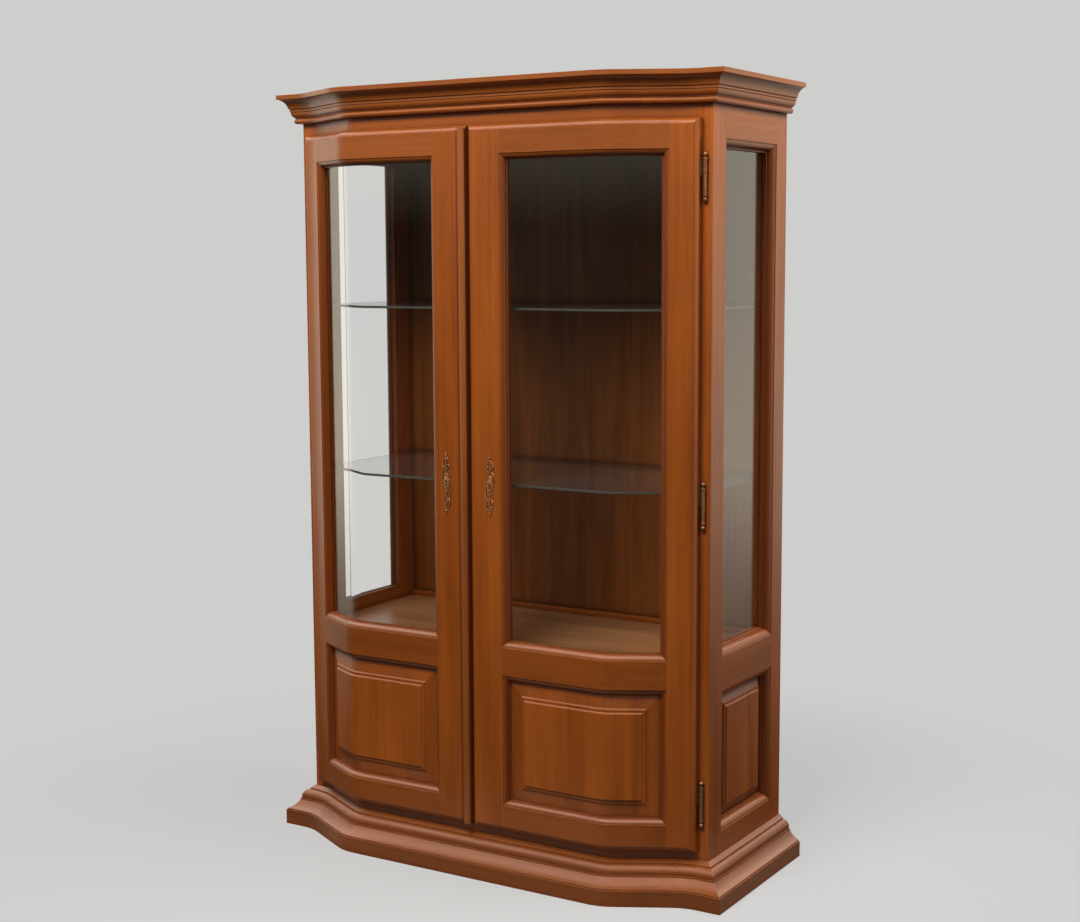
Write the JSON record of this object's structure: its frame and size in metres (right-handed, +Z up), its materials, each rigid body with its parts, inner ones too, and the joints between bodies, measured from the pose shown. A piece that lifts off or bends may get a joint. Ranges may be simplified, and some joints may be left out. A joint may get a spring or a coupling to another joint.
{
  "type": "display cabinet",
  "caption": "Tall wooden display cabinet with a bowed front, hinged glazed doors over raised panels, glazed sides, glass shelves, a moulded plinth and cornice.",
  "frame": {"origin": "middle of the bounding box's underside, on the floor", "axes": "+X to the right seen from the front, the doors face -Y, +Z up"},
  "size_m": [1.27, 0.555, 1.9],
  "materials": {
    "stained_wood": "satin varnish over an orange-brown stain",
    "back_wood": "dark brown stain with an upright grain",
    "glass": "clear polished",
    "antique_brass": "aged, dark in its hollows",
    "dark_bronze": "dark brown patina",
    "steel": "brushed"
  },
  "bodies": {
    "cabinet": {"back_panel": "back_wood", "back_skirting": "back_wood", "base_board": "stained_wood", "bottom_rail": "stained_wood", "cornice_front": "stained_wood", "cornice_left": "stained_wood", "cornice_right": "stained_wood", "deck_board": "stained_wood", "frieze_rail": "stained_wood", "hinge_frame_halves_left": "dark_bronze", "hinge_frame_halves_right": "dark_bronze", "lower_shelf": "glass", "plinth_front": "stained_wood", "plinth_left": "stained_wood", "plinth_right": "stained_wood", "post_left": "stained_wood", "post_right": "stained_wood", "rear_stile_left": "stained_wood", "rear_stile_right": "stained_wood", "shelf_pins": "antique_brass", "side_bottom_rail_left": "stained_wood", "side_bottom_rail_right": "stained_wood", "side_glass_beads": "stained_wood", "side_glass_left": "glass", "side_glass_right": "glass", "side_middle_rail_left": "stained_wood", "side_middle_rail_right": "stained_wood", "side_panel_left": "stained_wood", "side_panel_right": "stained_wood", "side_top_rail_left": "stained_wood", "side_top_rail_right": "stained_wood", "top_board": "stained_wood", "upper_shelf": "glass"},
    "left_door": {"left_door_astragal": "stained_wood", "left_door_bolt_guides": "steel", "left_door_bottom_rail": "stained_wood", "left_door_escutcheon": "antique_brass", "left_door_glass": "glass", "left_door_glass_beads": "stained_wood", "left_door_hinge_halves": "dark_bronze", "left_door_hinge_stile": "stained_wood", "left_door_meeting_stile": "stained_wood", "left_door_middle_rail": "stained_wood", "left_door_panel": "stained_wood", "left_door_strike_plate": "steel", "left_door_top_rail": "stained_wood"},
    "right_door": {"lock_case": "steel", "right_door_bottom_rail": "stained_wood", "right_door_escutcheon": "antique_brass", "right_door_glass": "glass", "right_door_glass_beads": "stained_wood", "right_door_hinge_halves": "dark_bronze", "right_door_hinge_stile": "stained_wood", "right_door_meeting_stile": "stained_wood", "right_door_middle_rail": "stained_wood", "right_door_panel": "stained_wood", "right_door_top_rail": "stained_wood"},
    "top_bolt": {"top_bolt": "steel"},
    "bottom_bolt": {"bottom_bolt": "steel"},
    "lock_bolt": {"lock_bolt": "steel"}
  },
  "joints": [
    {"name": "left_door_swing", "type": "hinge", "parent": "cabinet", "child": "left_door", "pos_m": [-0.561, -0.13151, 0.93], "axis": [0, 0, -1], "range_deg": [0, 110]},
    {"name": "right_door_swing", "type": "hinge", "parent": "cabinet", "child": "right_door", "pos_m": [0.561, -0.13151, 0.93], "axis": [0, 0, 1], "range_deg": [0, 110]},
    {"name": "top_bolt_slide", "type": "slide", "parent": "left_door", "child": "top_bolt", "axis": [0, 0, 1], "range_m": [0, 0.018]},
    {"name": "bottom_bolt_slide", "type": "slide", "parent": "left_door", "child": "bottom_bolt", "axis": [0, 0, -1], "range_m": [0, 0.018]},
    {"name": "lock_bolt_slide", "type": "slide", "parent": "right_door", "child": "lock_bolt", "axis": [-1, 0, 0], "range_m": [0, 0.012]}
  ]
}
